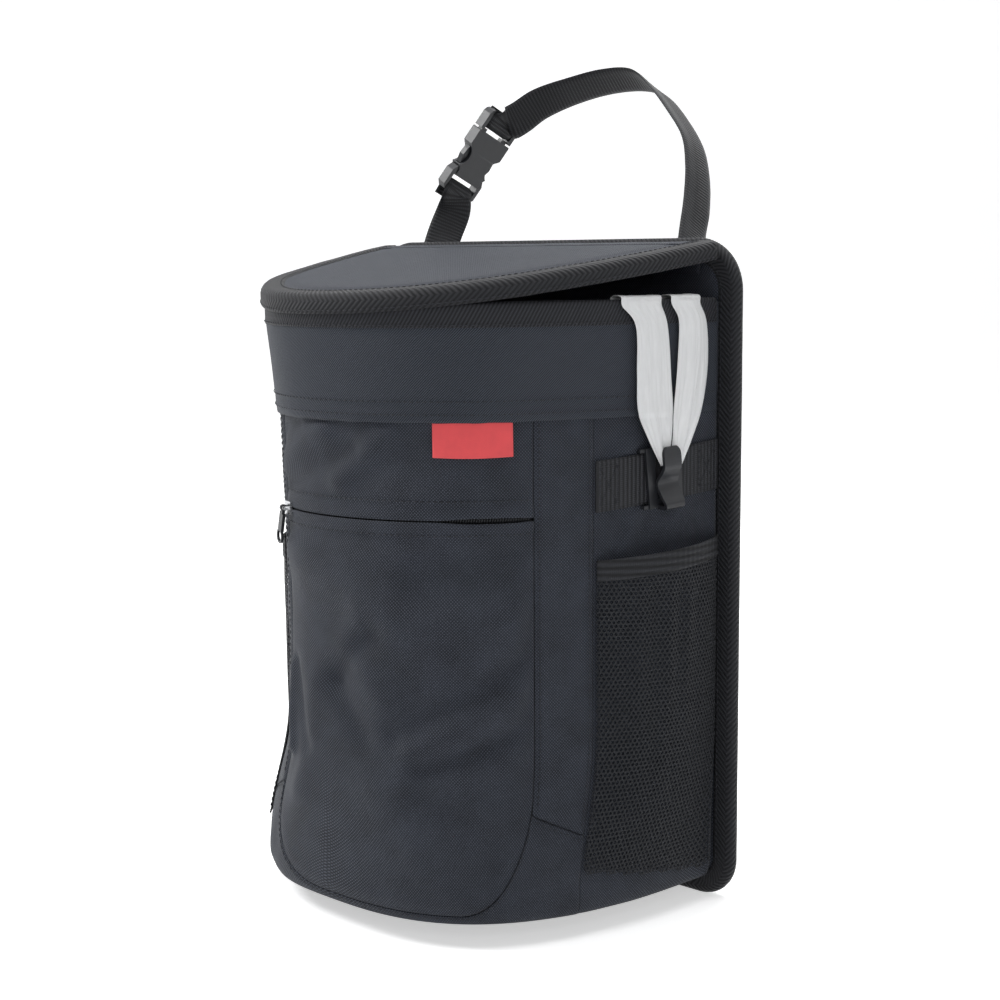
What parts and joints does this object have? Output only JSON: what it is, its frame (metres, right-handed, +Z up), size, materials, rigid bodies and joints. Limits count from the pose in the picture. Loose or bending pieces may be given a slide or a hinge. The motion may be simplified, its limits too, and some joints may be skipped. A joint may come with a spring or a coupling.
{
  "type": "car trash bin",
  "caption": "Soft fabric car bin on a padded back panel, with a sloping hinged lid, zipped front pocket, mesh side pockets, bag hooks and a buckled hanging strap.",
  "frame": {"origin": "on the floor, under the middle of the box round the whole part with its strap", "axes": "+Z up; +Y towards the seat or panel that the bin's flat back leans on, so the front pocket faces -Y; +X to the right seen from the front"},
  "size_m": [0.2634, 0.2558, 0.4337],
  "materials": {
    "cloth": "diagonal weave",
    "herringbone_tape": "herringbone weave",
    "twill": "fine twill",
    "zip_cloth": "plain weave",
    "zip_plastic": "moulded coil",
    "slider_metal": "dark lacquer",
    "pull_plastic": "moulded",
    "mesh": "open hexagonal mesh",
    "elastic": "ribbed elastic",
    "webbing": "ribbed webbing",
    "moulded_plastic": "fine moulded grain",
    "lining": "coated, leak-proof",
    "board": "plain",
    "bag_film": "thin creased film",
    "label": "woven, bare"
  },
  "bodies": {
    "tub": {"back_panel": "cloth", "back_binding": "herringbone_tape", "collar_band": "twill", "rim_binding": "twill", "front_upper_panel": "cloth", "front_pocket_panel": "cloth", "zip_tape": "zip_cloth", "zip_coil": "zip_plastic", "strip_right": "cloth", "strip_left": "cloth", "base_gusset": "cloth", "base_panel": "cloth", "side_panel_right": "cloth", "side_panel_left": "cloth", "mesh_pocket_right": "mesh", "mesh_pocket_left": "mesh", "pocket_elastic_right": "elastic", "pocket_elastic_left": "elastic", "hook_webbing_right": "webbing", "hook_webbing_left": "webbing", "hook_clip_right": "moulded_plastic", "hook_clip_left": "moulded_plastic", "lid_hinge_strip": "cloth", "lining": "lining", "base_board": "board", "liner_bag": "bag_film", "strap_long": "webbing", "strap_short": "webbing", "buckle_socket": "moulded_plastic", "label": "label"},
    "lid": {"lid_panel": "cloth", "lid_binding": "herringbone_tape"},
    "slider": {"zip_slider": "slider_metal"},
    "pull": {"zip_pull": "pull_plastic"},
    "plug": {"buckle_plug": "moulded_plastic"}
  },
  "joints": [
    {"name": "lid_hinge", "type": "hinge", "parent": "tub", "child": "lid", "pos_m": [0, 0.03644, 0.3334], "axis": [-1, 0, 0], "range_deg": [0, 95]},
    {"name": "zip_slide", "type": "hinge", "parent": "tub", "child": "slider", "pos_m": [0, -0.02135, 0.205], "axis": [0, 0, 1], "range_deg": [0, 82.26]},
    {"name": "zip_pull_swing", "type": "hinge", "parent": "slider", "child": "pull", "pos_m": [-0.03551, -0.11321, 0.205], "axis": [-0.9327, 0.3606, 0], "range_deg": [0, 150]},
    {"name": "buckle_release", "type": "slide", "parent": "tub", "child": "plug", "axis": [0.454, 0.3481, 0.8202], "range_m": [0, 0.022], "deforming": ["buckle_plug", "strap_long"]}
  ]
}
